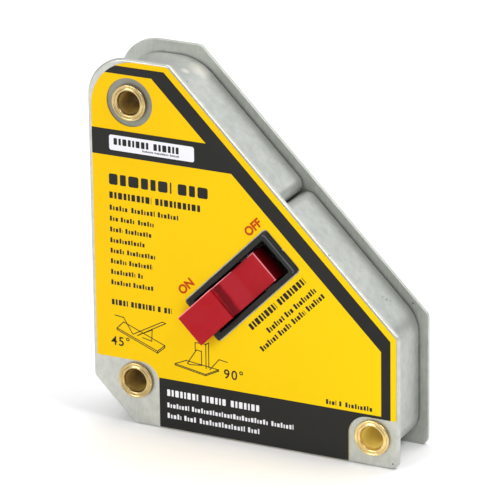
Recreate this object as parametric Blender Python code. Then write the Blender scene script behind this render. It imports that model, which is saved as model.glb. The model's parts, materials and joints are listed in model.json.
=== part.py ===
"""Switchable welding magnet holder, modelled as an assembly of separate pieces.

Two steel side plates stand on their lower edges, 22 mm apart over all. A bent steel band keeps
them apart and three brass tubular rivets hold them together. Between the plates a square shaft
carries two round magnets. A lever in a window of the front plate turns the shaft a quarter turn:
across the plates the magnets grip (ON, as built), along them they are shorted out (OFF).

Plate coordinates: x to the right and z up from the corner where the left and bottom edges would
meet, y to the rear from the middle plane between the plates.
Switch coordinates: x from the ON end to the OFF end, y along the shaft, z out of the front face.
"""
import math

import bmesh
import bpy
from mathutils import Matrix, Vector

MM = 0.001

# Side plates
PLATE_WIDTH = 97.0 * MM
PLATE_HEIGHT = 111.0 * MM
TOP_EDGE = 26.0 * MM
CORNER_CUT = 13.0 * MM
THICKNESS = 22.0 * MM
SHEET = 1.6 * MM
TOP_LEFT_RADIUS = 12.5 * MM
BLUNT_RADIUS = 2.4 * MM
FOOT_RADIUS = 2.6 * MM
SHEET_EDGE = 0.35 * MM

# Gaps between pieces that touch or run in each other
GAP = 0.3 * MM
RUN = 0.5 * MM

# Spacer band between the plates
BAND_INSET = 2.7 * MM
BAND_TOP_INSET = 3.5 * MM
BAND_SHEET = 1.2 * MM
BAND_BEND = 6.5 * MM
BAND_TOP_LEFT_BEND = 11.8 * MM
BAND_TOP_RIGHT_BEND = 15.0 * MM
BAND_RIGHT_BEND = 11.0 * MM
BAND_END_BEND = 3.4 * MM
BAND_END_TAB = 2.6 * MM
BAND_SEAM = 0.5 * MM

# Tubular rivets, and the distances of two of their axes from the plate's edges
RIVET_TUBE = 3.8 * MM
RIVET_WALL = 0.7 * MM
RIVET_FLARE = 0.4 * MM
RIVET_LIP = 1.6 * MM
RIVET_HEAD_HEIGHT = 0.8 * MM
TOP_RIVET_FROM_LEFT = 13.6 * MM
TOP_RIVET_FROM_TOP = 12.6 * MM
CORNER_RIVET_FROM_LEFT = 13.9 * MM
CORNER_RIVET_FROM_BASE = 13.8 * MM

# Printed label on the front plate
LABEL_SHEET = 0.15 * MM
LABEL_GAP = 0.1 * MM
LABEL_LEFT_INSET = 1.3 * MM
LABEL_INSET = 0.6 * MM
LABEL_ROUND_RIVET = 1.85 * MM
LABEL_BESIDE_RIVET = 2.1 * MM
LABEL_ABOVE_RIVET = 0.65 * MM
LABEL_CUT_RADIUS = 6.0 * MM
LABEL_TOP_LEFT_RADIUS = 14.4 * MM
LABEL_CORNER_RADIUS = 0.4 * MM

# Bezel and well of the switch
WINDOW_LENGTH = 31.0 * MM
WINDOW_WIDTH = 11.6 * MM
WINDOW_CORNER = 0.5 * MM
BEZEL_RIM_END = 2.6 * MM
BEZEL_RIM_SIDE = 1.7 * MM
BEZEL_CORNER = 1.1 * MM
BEZEL_HEIGHT = 0.8 * MM
BEZEL_CHAMFER = 0.45 * MM
BEZEL_WALL = 0.8 * MM
BEZEL_SKIRT = 3.0 * MM
BEZEL_FROM_SLANT = 10.2 * MM
WELL_WALL = 1.0 * MM

# Lever
LEVER_SIDE_CLEARANCE = 0.6 * MM
LEVER_SWING_CLEARANCE = 0.5 * MM
PADDLE_SHEET = 1.9 * MM
PADDLE_OVERHANG = 4.0 * MM
PADDLE_LIFT = 0.2 * MM
PADDLE_STEP = 1.5 * MM
HUB_BACK = 8.4 * MM
HUB_WALL = 1.47 * MM
SCOOP_DEPTH = 1.5 * MM
NOSE_CLEARANCE = 0.4 * MM
LEVER_EDGE = 0.3 * MM

# Shaft, magnets, pole shoes and bearings
SHAFT_SQUARE = 4.0 * MM
SHAFT_SHOULDER = 0.1 * MM
MAGNET_LENGTH = 14.0 * MM
SHOE_CROWN = 1.1 * MM
SHOE_SIDE = 1.6 * MM
SHOE_SPLIT = 1.5 * MM
WASHER_SHEET = 0.6 * MM
WASHER_WIDTH = 1.47 * MM
WAVE_HEIGHT = 0.45 * MM
WAVE_SHEET = 0.3 * MM
WAVE_COUNT = 3
BLOCK_LENGTH = 5.0 * MM
BLOCK_HALF_WIDTH = 7.0 * MM
CLIP_SHEET = 0.7 * MM
CLIP_RIM = 1.7 * MM
CLIP_MOUTH = 1.5 * MM
GROOVE_DEPTH = 0.6 * MM
SHAFT_END = 0.9 * MM

ROUND_STEPS = 36
RIVET_STEPS = 28
SHAFT_STEPS = 16
EDGE_STEPS = 1
SMOOTH_ANGLE = math.radians(35)

# Sizes that follow from the ones above
HALF = THICKNESS / 2
INNER_HALF = HALF - SHEET
SLANT = math.sqrt(0.5)
SLANT_DISTANCE = (TOP_EDGE + PLATE_HEIGHT) * SLANT
RIGHT_EDGE = PLATE_HEIGHT - (PLATE_WIDTH - TOP_EDGE)
RIVET_BORE = RIVET_TUBE - RIVET_WALL
RIVET_MOUTH = RIVET_BORE + RIVET_FLARE
RIVET_HEAD = RIVET_TUBE + RIVET_LIP
FOOT_BEND = RIVET_TUBE + GAP + 2 * BAND_SHEET
FOOT_RIVET_FROM_RIGHT = BAND_INSET + FOOT_BEND - BAND_SHEET
FOOT_RIVET_FROM_BASE = BAND_INSET + FOOT_BEND - GAP
LABEL_HOLE = RIVET_HEAD + LABEL_ROUND_RIVET
LABEL_CUT_SIDE = RIVET_HEAD + LABEL_BESIDE_RIVET
LABEL_CUT_TOP = RIVET_HEAD + LABEL_ABOVE_RIVET
BEZEL_TOP = HALF + GAP + BEZEL_HEIGHT
LEVER_HALF_WIDTH = WINDOW_WIDTH / 2 - LEVER_SIDE_CLEARANCE
LEVER_TOP = BEZEL_TOP + PADDLE_LIFT + PADDLE_SHEET
WINDOW_OFF = LEVER_TOP + LEVER_SWING_CLEARANCE
WINDOW_ON = WINDOW_OFF - WINDOW_LENGTH
AXIS_DISTANCE = SLANT_DISTANCE - BEZEL_FROM_SLANT - BEZEL_RIM_END - WINDOW_OFF
WELL_GAP = BEZEL_WALL + GAP
WELL_SIDE = WINDOW_WIDTH / 2 + WELL_GAP + WELL_WALL
SHOE_BACK = INNER_HALF - GAP
MAGNET_RADIUS = SHOE_BACK - SHOE_CROWN - RUN
SHOE_HALF_WIDTH = MAGNET_RADIUS + RUN + SHOE_SIDE
MAGNET_START = WELL_SIDE + GAP
MAGNET_END = MAGNET_START + MAGNET_LENGTH
WASHER_START = MAGNET_END + GAP
WAVE_DEPTH = 2 * WAVE_HEIGHT + WAVE_SHEET
BLOCK_START = WASHER_START + WASHER_SHEET + GAP + WAVE_DEPTH + GAP
BLOCK_END = BLOCK_START + BLOCK_LENGTH
CLIP_START = BLOCK_END + GAP
SHAFT_HALF = CLIP_START + CLIP_SHEET + SHAFT_END
SQUARE_END = BLOCK_START - GAP
SHAFT_HOLE = SHAFT_SQUARE * SLANT + GAP
SHAFT_JOURNAL = SHAFT_SQUARE / 2 - SHAFT_SHOULDER
HUB_BARREL = SHAFT_HOLE + HUB_WALL
WASHER_RADIUS = SHAFT_HOLE + WASHER_WIDTH
CLIP_GROOVE = SHAFT_JOURNAL - GROOVE_DEPTH
CLIP_RADIUS = SHAFT_JOURNAL + CLIP_RIM
RIVET_REACH = HALF + GAP + RIVET_HEAD_HEIGHT
MIDDLE_PLANE = (LEVER_TOP - RIVET_REACH) / 2


def clear_scene():
    for item in list(bpy.data.objects):
        bpy.data.objects.remove(item, do_unlink=True)


def make_material(name, colour, roughness, metallic):
    material = bpy.data.materials.new(name)
    material.use_nodes = True
    shader = material.node_tree.nodes["Principled BSDF"]
    shader.inputs["Base Color"].default_value = (*colour, 1.0)
    shader.inputs["Roughness"].default_value = roughness
    shader.inputs["Metallic"].default_value = metallic
    material.diffuse_color = (*colour, 1.0)
    return material


def add_empty(name, matrix, parent=None):
    empty = bpy.data.objects.new(name, None)
    bpy.context.collection.objects.link(empty)
    empty.parent = parent
    empty.matrix_local = matrix
    empty.empty_display_size = 0.01
    return empty


def add_object(name, bm, parent, material, edge=0.0):
    """Link a mesh as one named piece, with its sharp edges rounded by the given amount."""
    bmesh.ops.recalc_face_normals(bm, faces=bm.faces)
    mesh = bpy.data.meshes.new(name)
    bm.to_mesh(mesh)
    bm.free()
    mesh.shade_smooth()
    mesh.set_sharp_from_angle(angle=SMOOTH_ANGLE)
    piece = bpy.data.objects.new(name, mesh)
    piece.data.materials.append(material)
    bpy.context.collection.objects.link(piece)
    piece.parent = parent
    if edge:
        bevel = piece.modifiers.new("rounded edges", "BEVEL")
        bevel.width = edge
        bevel.segments = EDGE_STEPS
        bevel.limit_method = "ANGLE"
        bevel.angle_limit = math.radians(50)
    return piece


def cut(piece, cutter):
    cutter.hide_render = True
    cutter.display_type = "WIRE"
    boolean = piece.modifiers.new("cut " + cutter.name, "BOOLEAN")
    boolean.operation = "DIFFERENCE"
    boolean.solver = "EXACT"
    boolean.object = cutter


def circle(centre, radius, steps=ROUND_STEPS):
    turns = [2 * math.pi * i / steps for i in range(steps)]
    return [(centre[0] + radius * math.cos(a), centre[1] + radius * math.sin(a)) for a in turns]


def rectangle(x0, x1, z0, z1):
    return [(x0, z0), (x1, z0), (x1, z1), (x0, z1)]


def arc(centre, radius, start, end, steps):
    angles = [start + (end - start) * i / steps for i in range(steps + 1)]
    return [(centre[0] + radius * math.cos(a), centre[1] + radius * math.sin(a)) for a in angles]


def corner_arc(before, corner, after, radius):
    """The points that round one corner of a path off with the given radius."""
    to_before = (Vector(before) - Vector(corner)).normalized()
    to_after = (Vector(after) - Vector(corner)).normalized()
    half = to_before.angle(to_after) / 2
    middle = (to_before + to_after).normalized()
    centre = Vector(corner) + middle * (radius / math.sin(half))
    start = Vector(corner) + to_before * (radius / math.tan(half)) - centre
    turn = math.pi - 2 * half
    side = 1 if start.x * to_before.y - start.y * to_before.x < 0 else -1
    steps = max(2, round(turn / math.radians(11)))
    points = []
    for i in range(steps + 1):
        spoke = Matrix.Rotation(side * turn * i / steps, 2) @ start
        points.append(tuple(centre + spoke))
    return points


def rounded_path(corners, radii, closed=True):
    points = []
    count = len(corners)
    for i, (corner, radius) in enumerate(zip(corners, radii)):
        if radius == 0 or (not closed and i in (0, count - 1)):
            points.append(corner)
            continue
        points += corner_arc(corners[i - 1], corner, corners[(i + 1) % count], radius)
    return points


def slab_mesh(outline, holes, y0, y1):
    """A flat outline in x and z, with holes, extruded from y0 to y1."""
    bm = bmesh.new()
    edges = []
    for loop in [outline, *holes]:
        ring = [bm.verts.new((x, y0, z)) for x, z in loop]
        edges += [bm.edges.new((ring[i - 1], ring[i])) for i in range(len(ring))]
    filled = bmesh.ops.triangle_fill(bm, use_beauty=True, use_dissolve=False, edges=edges)
    faces = [item for item in filled["geom"] if isinstance(item, bmesh.types.BMFace)]
    grown = bmesh.ops.extrude_face_region(bm, geom=faces)
    moved = [item for item in grown["geom"] if isinstance(item, bmesh.types.BMVert)]
    bmesh.ops.translate(bm, verts=moved, vec=(0, y1 - y0, 0))
    return bm


def add_slab(name, outline, holes, y0, y1, parent, material, edge=0.0):
    return add_object(name, slab_mesh(outline, holes, y0, y1), parent, material, edge)


def ring_stack_mesh(rings):
    """Closed body from rings of points; each ring joins the next and the last joins the first."""
    bm = bmesh.new()
    verts = [[bm.verts.new(point) for point in ring] for ring in rings]
    for here, there in zip(verts, verts[1:] + verts[:1]):
        for i in range(len(here)):
            bm.faces.new((here[i - 1], here[i], there[i], there[i - 1]))
    return bm


def plate_corners(inset=0.0, left=None):
    """Corners of the plate's outline, moved in from its edges, from the lower left end round."""
    left = inset if left is None else left
    diagonal = inset * math.tan(math.pi / 8)
    right = PLATE_WIDTH - inset
    top = PLATE_HEIGHT - inset
    return {
        "left low": (left, CORNER_CUT + diagonal),
        "base left": (CORNER_CUT + diagonal, inset),
        "foot": (right, inset),
        "right high": (right, RIGHT_EDGE - diagonal),
        "top right": (TOP_EDGE - diagonal, top),
        "top left": (left, top),
    }


def plate_outline():
    corners = plate_corners()
    radii = [BLUNT_RADIUS, BLUNT_RADIUS, FOOT_RADIUS, BLUNT_RADIUS, BLUNT_RADIUS, TOP_LEFT_RADIUS]
    return rounded_path(list(corners.values()), radii)


def rivet_places():
    return {
        "top": (TOP_RIVET_FROM_LEFT, PLATE_HEIGHT - TOP_RIVET_FROM_TOP),
        "corner": (CORNER_RIVET_FROM_LEFT, CORNER_RIVET_FROM_BASE),
        "foot": (PLATE_WIDTH - FOOT_RIVET_FROM_RIGHT, FOOT_RIVET_FROM_BASE),
    }


def window_in_plate(margin_end, margin_side, corner):
    """The switch window's outline in plate coordinates, grown by the two margins."""
    x0 = AXIS_DISTANCE + WINDOW_ON - margin_end
    x1 = AXIS_DISTANCE + WINDOW_OFF + margin_end
    half = WINDOW_WIDTH / 2 + margin_side
    corners = [(x0, -half), (x1, -half), (x1, half), (x0, half)]
    loop = rounded_path(corners, [corner] * len(corners))
    return [((x - z) * SLANT, (x + z) * SLANT) for x, z in loop]


def build_plates(frame, steel):
    holes = [circle(place, RIVET_TUBE + GAP) for place in rivet_places().values()]
    window = window_in_plate(WELL_GAP, WELL_GAP, WINDOW_CORNER + BEZEL_WALL)
    outline = plate_outline()
    add_slab("front_plate", outline, [*holes, window], -HALF, -INNER_HALF, frame, steel, SHEET_EDGE)
    add_slab("rear_plate", outline, holes, INNER_HALF, HALF, frame, steel, SHEET_EDGE)


def band_path():
    """Outer side of the band: once round the plates, both ends turned in at mid slant.

    It lies a little deeper along the top. The bend at the foot is as wide as its rivet needs.
    """
    corner = plate_corners(BAND_INSET)
    middle = (Vector(corner["right high"]) + Vector(corner["top right"])) / 2
    deeper = BAND_TOP_INSET - BAND_INSET
    top_left = (corner["top left"][0], corner["top left"][1] - deeper)
    top_right = (corner["top right"][0] + deeper, corner["top right"][1] - deeper)
    inward = Vector((-SLANT, -SLANT))
    along = Vector((SLANT, -SLANT)) * (BAND_SEAM / 2)
    depth = inward * (BAND_END_BEND + BAND_END_TAB)
    lower = middle + along
    upper = middle - along
    corners = [
        tuple(upper + depth), tuple(upper), top_right, top_left,
        corner["left low"], corner["base left"], corner["foot"], corner["right high"],
        tuple(lower), tuple(lower + depth),
    ]
    radii = [0, BAND_END_BEND, BAND_TOP_RIGHT_BEND, BAND_TOP_LEFT_BEND, BAND_BEND, BAND_BEND,
             FOOT_BEND, BAND_RIGHT_BEND, BAND_END_BEND, 0]
    return rounded_path(corners, radii, closed=False)


def build_band(frame, steel):
    bm = bmesh.new()
    half = INNER_HALF - GAP
    front = [bm.verts.new((x, -half, z)) for x, z in band_path()]
    rear = [bm.verts.new((x, half, z)) for x, z in band_path()]
    for i in range(len(front) - 1):
        bm.faces.new((front[i], front[i + 1], rear[i + 1], rear[i]))
    mesh = bpy.data.meshes.new("spacer_band")
    bm.to_mesh(mesh)
    bm.free()
    mesh.shade_smooth()
    band = bpy.data.objects.new("spacer_band", mesh)
    band.data.materials.append(steel)
    bpy.context.collection.objects.link(band)
    band.parent = frame
    thicken = band.modifiers.new("sheet thickness", "SOLIDIFY")
    thicken.thickness = BAND_SHEET
    thicken.offset = 1.0
    thicken.use_even_offset = True
    return band


def rivet_profile():
    """Half of the rivet's section as radius and height, from the middle out to the front head."""
    under = HALF + GAP
    top = under + RIVET_HEAD_HEIGHT
    crown = RIVET_HEAD_HEIGHT / 2
    head = arc((RIVET_HEAD - crown, under + crown), crown, -math.pi / 2, math.pi / 2, 4)
    flare = (RIVET_MOUTH + RIVET_FLARE, top - RIVET_FLARE)
    mouth = arc(flare, RIVET_FLARE, math.pi / 2, math.pi, 2)
    return [(RIVET_TUBE, under), *head, *mouth, (RIVET_BORE, top - 4 * RIVET_FLARE)]


def build_rivets(frame, brass):
    rear = rivet_profile()
    front = [(radius, -height) for radius, height in reversed(rear)]
    for name, (x, z) in rivet_places().items():
        rings = []
        for radius, y in [*rear, *front]:
            rings.append([(x + dx, y, z + dz) for dx, dz in circle((0, 0), radius, RIVET_STEPS)])
        add_object("rivet_" + name, ring_stack_mesh(rings), frame, brass)


def label_outline():
    edge = plate_corners(LABEL_INSET, LABEL_LEFT_INSET)
    rivet = rivet_places()
    left, top = edge["top left"]
    right, base = edge["foot"]
    corner_side = rivet["corner"][0] + LABEL_CUT_SIDE
    corner_top = rivet["corner"][1] + LABEL_CUT_TOP
    foot_side = rivet["foot"][0] - LABEL_CUT_SIDE
    foot_top = rivet["foot"][1] + LABEL_CUT_TOP
    corners = [
        (left, corner_top), (corner_side, corner_top), (corner_side, base), (foot_side, base),
        (foot_side, foot_top), (right, foot_top), edge["right high"], edge["top right"],
        (left, top),
    ]
    small = LABEL_CORNER_RADIUS
    radii = [small, LABEL_CUT_RADIUS, small, small, LABEL_CUT_RADIUS, small, small, BLUNT_RADIUS,
             LABEL_TOP_LEFT_RADIUS]
    return rounded_path(corners, radii)


def build_label(frame, print_yellow):
    hole = circle(rivet_places()["top"], LABEL_HOLE)
    window = window_in_plate(BEZEL_RIM_END + GAP, BEZEL_RIM_SIDE + GAP, BEZEL_CORNER)
    face = -HALF - LABEL_GAP
    add_slab("front_label", label_outline(), [hole, window], face - LABEL_SHEET, face, frame,
             print_yellow)


def window_ring(margin_end, margin_side, corner, height):
    x0 = WINDOW_ON - margin_end
    x1 = WINDOW_OFF + margin_end
    half = WINDOW_WIDTH / 2 + margin_side
    corners = [(x0, -half), (x1, -half), (x1, half), (x0, half)]
    return [(x, y, height) for x, y in rounded_path(corners, [corner] * len(corners))]


def build_bezel(switch, plastic):
    """Frame on the front plate with a skirt through the plate's window into the well."""
    inner = WINDOW_CORNER
    outer = BEZEL_CORNER
    under = HALF + GAP
    low = INNER_HALF - BEZEL_SKIRT
    slope = BEZEL_CHAMFER
    wall = BEZEL_WALL
    rings = [
        window_ring(wall, wall, inner, low),
        window_ring(wall, wall, inner, under),
        window_ring(BEZEL_RIM_END, BEZEL_RIM_SIDE, outer, under),
        window_ring(BEZEL_RIM_END, BEZEL_RIM_SIDE, outer, BEZEL_TOP - slope),
        window_ring(BEZEL_RIM_END - slope, BEZEL_RIM_SIDE - slope, outer - slope, BEZEL_TOP),
        window_ring(slope / 2, slope / 2, inner, BEZEL_TOP),
        window_ring(0, 0, inner, BEZEL_TOP - slope / 2),
        window_ring(0, 0, inner, low),
    ]
    add_object("switch_bezel", ring_stack_mesh(rings), switch, plastic)


def build_well(switch, plastic):
    """Open box between the plates round the lever's hub, with a hole for the shaft each side."""
    inner = WELL_GAP
    outer = WELL_GAP + WELL_WALL
    corner = WINDOW_CORNER + BEZEL_WALL
    front = INNER_HALF - GAP
    rings = [
        window_ring(outer, outer, corner + WELL_WALL, -front),
        window_ring(outer, outer, corner + WELL_WALL, front),
        window_ring(inner, inner, corner, front),
        window_ring(inner, inner, corner, -front),
    ]
    well = add_object("switch_well", ring_stack_mesh(rings), switch, plastic)
    reach = WELL_SIDE + RUN
    hole = add_slab("shaft_hole_cutter", circle((0, 0), SHAFT_HOLE), [], -reach, reach, switch,
                    plastic)
    cut(well, hole)


def lever_profile():
    """Side view of the lever in the ON position, from the paddle's tip over the top and round."""
    tip = WINDOW_ON - BEZEL_RIM_END - PADDLE_OVERHANG
    under = LEVER_TOP - PADDLE_SHEET
    nose = INNER_HALF - NOSE_CLEARANCE
    step = LEVER_TOP - PADDLE_STEP
    span = nose + HUB_BACK
    scoop = []
    for i in range(1, 10):
        share = i / 10
        sag = SCOOP_DEPTH * math.sin(math.pi * share)
        level = step + (HALF - step) * share
        scoop.append((-HUB_BACK + span * share, level - sag))
    barrel = arc((0, 0), HUB_BARREL, -math.radians(25), -math.radians(155), 8)
    return [
        (tip, under), (tip, LEVER_TOP), (-HUB_BACK, LEVER_TOP), (-HUB_BACK, step), *scoop,
        (nose, HALF), (nose, HUB_BARREL), *barrel, (-HUB_BACK + RUN, HALF - 2 * BEZEL_SKIRT),
        (-HUB_BACK + RUN, under),
    ]


def square(side):
    return rectangle(-side / 2, side / 2, -side / 2, side / 2)


def build_lever(switch, plastic):
    hole = square(SHAFT_SQUARE + 2 * GAP)
    add_slab("switch_lever", lever_profile(), [hole], -LEVER_HALF_WIDTH, LEVER_HALF_WIDTH, switch,
             plastic, LEVER_EDGE)


def build_shaft(switch, steel):
    """Square shaft with a round journal and a clip groove at each end."""
    half = SHAFT_SQUARE / 2
    reach = half / math.cos(math.pi / 4)
    corner = math.pi / 4
    sections = [
        (SHAFT_HALF, SHAFT_JOURNAL), (CLIP_START + CLIP_SHEET + GAP, SHAFT_JOURNAL),
        (CLIP_START + CLIP_SHEET + GAP, CLIP_GROOVE), (CLIP_START - GAP / 2, CLIP_GROOVE),
        (CLIP_START - GAP / 2, SHAFT_JOURNAL), (SQUARE_END, SHAFT_JOURNAL),
    ]
    bm = bmesh.new()
    rings = []
    for y, radius in sections:
        rings.append([bm.verts.new((x, y, z)) for x, z in circle((0, 0), radius, SHAFT_STEPS)])
    body = []
    for y in (SQUARE_END, -SQUARE_END):
        loop = []
        for i in range(SHAFT_STEPS):
            angle = 2 * math.pi * i / SHAFT_STEPS
            offset = (angle + corner) % (math.pi / 2) - corner
            length = min(reach, half / math.cos(offset))
            loop.append(bm.verts.new((length * math.cos(angle), y, length * math.sin(angle))))
        body.append(loop)
    rings += body
    for y, radius in reversed(sections):
        rings.append([bm.verts.new((x, -y, z)) for x, z in circle((0, 0), radius, SHAFT_STEPS)])
    for here, there in zip(rings, rings[1:]):
        for i in range(len(here)):
            bm.faces.new((here[i - 1], here[i], there[i], there[i - 1]))
    bm.faces.new(rings[0])
    bm.faces.new(rings[-1])
    add_object("rotor_shaft", bm, switch, steel)


def build_magnets(switch, magnet):
    hole = square(SHAFT_SQUARE + 2 * GAP)
    disc = circle((0, 0), MAGNET_RADIUS, 48)
    add_slab("rotor_magnet_upper", disc, [hole], MAGNET_START, MAGNET_END, switch, magnet)
    add_slab("rotor_magnet_lower", disc, [hole], -MAGNET_END, -MAGNET_START, switch, magnet)


def shoe_outline(side):
    """Block against one plate with a round hollow for the magnet; side is 1 front, -1 rear."""
    hollow = MAGNET_RADIUS + RUN
    start = math.asin(SHOE_SPLIT / hollow)
    curve = arc((0, 0), hollow, start, math.pi - start, 16)
    points = [*curve, (-SHOE_HALF_WIDTH, SHOE_SPLIT), (-SHOE_HALF_WIDTH, SHOE_BACK),
              (SHOE_HALF_WIDTH, SHOE_BACK), (SHOE_HALF_WIDTH, SHOE_SPLIT)]
    return [(x, side * z) for x, z in points]


def build_pole_shoes(switch, iron):
    for face, side in (("front", 1), ("rear", -1)):
        outline = shoe_outline(side)
        add_slab(f"pole_shoe_{face}_upper", outline, [], MAGNET_START, MAGNET_END, switch, iron)
        add_slab(f"pole_shoe_{face}_lower", outline, [], -MAGNET_END, -MAGNET_START, switch, iron)


def clip_outline():
    """Open ring that snaps into the shaft's groove."""
    inner = CLIP_GROOVE + GAP
    half_mouth = CLIP_MOUTH / 2
    outer_start = math.asin(half_mouth / CLIP_RADIUS)
    inner_start = math.asin(half_mouth / inner)
    outer = arc((0, 0), CLIP_RADIUS, outer_start, 2 * math.pi - outer_start, 28)
    back = arc((0, 0), inner, 2 * math.pi - inner_start, inner_start, 14)
    return outer + back


def wave_washer_mesh(start):
    """Ring of spring sheet that bows up and down along the shaft."""
    inner = SHAFT_HOLE
    middle = start + WAVE_HEIGHT
    rings = []
    for radius, lift in ((inner, 0), (WASHER_RADIUS, 0), (WASHER_RADIUS, WAVE_SHEET),
                         (inner, WAVE_SHEET)):
        ring = []
        for i in range(ROUND_STEPS):
            angle = 2 * math.pi * i / ROUND_STEPS
            wave = WAVE_HEIGHT * math.sin(WAVE_COUNT * angle)
            ring.append((radius * math.cos(angle), middle + wave + lift, radius * math.sin(angle)))
        rings.append(ring)
    return ring_stack_mesh(rings)


def build_bearings(switch, aluminium, nylon, spring):
    """Thrust washer, bearing block and clip at each end; the upper end also has the spring."""
    ring = circle((0, 0), WASHER_RADIUS)
    washer_hole = circle((0, 0), SHAFT_HOLE)
    journal_hole = circle((0, 0), SHAFT_JOURNAL + GAP, 24)
    height = INNER_HALF - GAP
    block = rectangle(-BLOCK_HALF_WIDTH, BLOCK_HALF_WIDTH, -height, height)
    washer_end = WASHER_START + WASHER_SHEET
    lower_washer = BLOCK_START - GAP - WASHER_SHEET
    add_slab("thrust_washer_upper", ring, [washer_hole], WASHER_START, washer_end, switch, nylon)
    add_slab("thrust_washer_lower", ring, [washer_hole], -lower_washer - WASHER_SHEET,
             -lower_washer, switch, nylon)
    add_object("wave_washer", wave_washer_mesh(washer_end + GAP), switch, spring)
    add_slab("bearing_block_upper", block, [journal_hole], BLOCK_START, BLOCK_END, switch,
             aluminium, SHEET_EDGE)
    add_slab("bearing_block_lower", block, [journal_hole], -BLOCK_END, -BLOCK_START, switch,
             aluminium, SHEET_EDGE)
    clip_end = CLIP_START + CLIP_SHEET
    add_slab("shaft_clip_upper", clip_outline(), [], CLIP_START, clip_end, switch, spring)
    add_slab("shaft_clip_lower", clip_outline(), [], -clip_end, -CLIP_START, switch, spring)


def switch_matrix():
    """Switch coordinates in plate coordinates: the shaft runs along the slanted edge."""
    to_off = Vector((SLANT, 0, SLANT))
    shaft = Vector((-SLANT, 0, SLANT))
    outward = Vector((0, -1, 0))
    turn = Matrix((to_off, shaft, outward)).transposed().to_4x4()
    return Matrix.Translation(to_off * AXIS_DISTANCE) @ turn


def main():
    clear_scene()
    frame = add_empty("plate_frame", Matrix.Translation((-PLATE_WIDTH / 2, MIDDLE_PLANE, 0)))
    switch = add_empty("switch_axis", switch_matrix(), frame)
    steel = make_material("plate steel", (0.50, 0.52, 0.49), 0.42, 0.9)
    band_steel = make_material("band steel", (0.56, 0.58, 0.55), 0.38, 0.9)
    brass = make_material("brass", (0.74, 0.55, 0.23), 0.3, 1.0)
    yellow = make_material("label print", (0.95, 0.62, 0.01), 0.35, 0.0)
    black = make_material("black plastic", (0.03, 0.035, 0.03), 0.5, 0.0)
    red = make_material("red plastic", (0.45, 0.012, 0.025), 0.28, 0.0)
    shaft_steel = make_material("shaft steel", (0.45, 0.46, 0.47), 0.35, 1.0)
    magnet = make_material("nickel-plated magnet", (0.55, 0.54, 0.50), 0.25, 1.0)
    iron = make_material("pole iron", (0.22, 0.22, 0.23), 0.55, 1.0)
    aluminium = make_material("aluminium", (0.60, 0.61, 0.62), 0.45, 1.0)
    nylon = make_material("natural nylon", (0.75, 0.73, 0.66), 0.55, 0.0)
    spring = make_material("spring steel", (0.28, 0.29, 0.32), 0.35, 1.0)
    build_plates(frame, steel)
    build_band(frame, band_steel)
    build_rivets(frame, brass)
    build_label(frame, yellow)
    build_bezel(switch, black)
    build_well(switch, black)
    build_lever(switch, red)
    build_shaft(switch, shaft_steel)
    build_magnets(switch, magnet)
    build_pole_shoes(switch, iron)
    build_bearings(switch, aluminium, nylon, spring)


main()
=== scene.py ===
"""Looks of the switchable welding magnet holder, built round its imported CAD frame.

Plate coordinates: x to the right and z up from the corner where the plates' left and bottom edges
would meet. Depths are distances in front of or behind the middle plane between the plates.
Switch coordinates: x from the ON end to the OFF end, y along the shaft, z out of the front face.
"""
import json
import math

import bmesh
import bpy
from mathutils import Matrix, Vector

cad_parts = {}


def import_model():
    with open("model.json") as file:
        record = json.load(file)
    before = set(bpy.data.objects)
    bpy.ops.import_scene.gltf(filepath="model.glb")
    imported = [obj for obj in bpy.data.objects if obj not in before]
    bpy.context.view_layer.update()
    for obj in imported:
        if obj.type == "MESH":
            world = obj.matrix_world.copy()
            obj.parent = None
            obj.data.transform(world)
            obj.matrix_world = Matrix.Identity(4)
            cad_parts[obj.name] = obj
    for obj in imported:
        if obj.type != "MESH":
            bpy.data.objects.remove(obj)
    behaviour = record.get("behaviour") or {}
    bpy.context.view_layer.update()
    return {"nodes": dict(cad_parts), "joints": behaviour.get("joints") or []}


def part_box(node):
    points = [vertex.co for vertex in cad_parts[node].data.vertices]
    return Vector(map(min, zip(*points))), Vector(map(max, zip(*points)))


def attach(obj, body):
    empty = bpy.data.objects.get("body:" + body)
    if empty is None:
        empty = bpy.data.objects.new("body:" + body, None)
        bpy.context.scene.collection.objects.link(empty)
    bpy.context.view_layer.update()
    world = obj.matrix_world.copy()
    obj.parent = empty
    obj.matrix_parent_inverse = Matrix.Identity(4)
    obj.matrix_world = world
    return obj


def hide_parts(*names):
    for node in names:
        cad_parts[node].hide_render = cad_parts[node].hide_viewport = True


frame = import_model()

MM = 0.001
SLANT = math.sqrt(0.5)

# Places that come from the frame
PLATE_LOW, PLATE_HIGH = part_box("front_plate")
REAR_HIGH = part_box("rear_plate")[1]
BAND_LOW, BAND_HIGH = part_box("spacer_band")
LABEL_LOW, LABEL_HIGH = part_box("front_label")
BEZEL_LOW, BEZEL_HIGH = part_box("switch_bezel")
LEVER_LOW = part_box("switch_lever")[0]
SWITCH = frame["joints"][0]

WIDTH = PLATE_HIGH.x - PLATE_LOW.x
HEIGHT = PLATE_HIGH.z
SHEET = PLATE_HIGH.y - PLATE_LOW.y
MIDDLE = (PLATE_LOW.y + REAR_HIGH.y) / 2
HALF = MIDDLE - PLATE_LOW.y
INNER_HALF = HALF - SHEET

# Outline of the plates
TOP_EDGE = 26.0 * MM
CORNER_CUT = 13.0 * MM
TOP_LEFT_RADIUS = 12.5 * MM
BLUNT_RADIUS = 2.4 * MM
FOOT_RADIUS = 2.6 * MM
FRONT_ROUND = 0.75 * MM
BACK_ROUND = 0.2 * MM
RIGHT_EDGE = HEIGHT - (WIDTH - TOP_EDGE)

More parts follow.
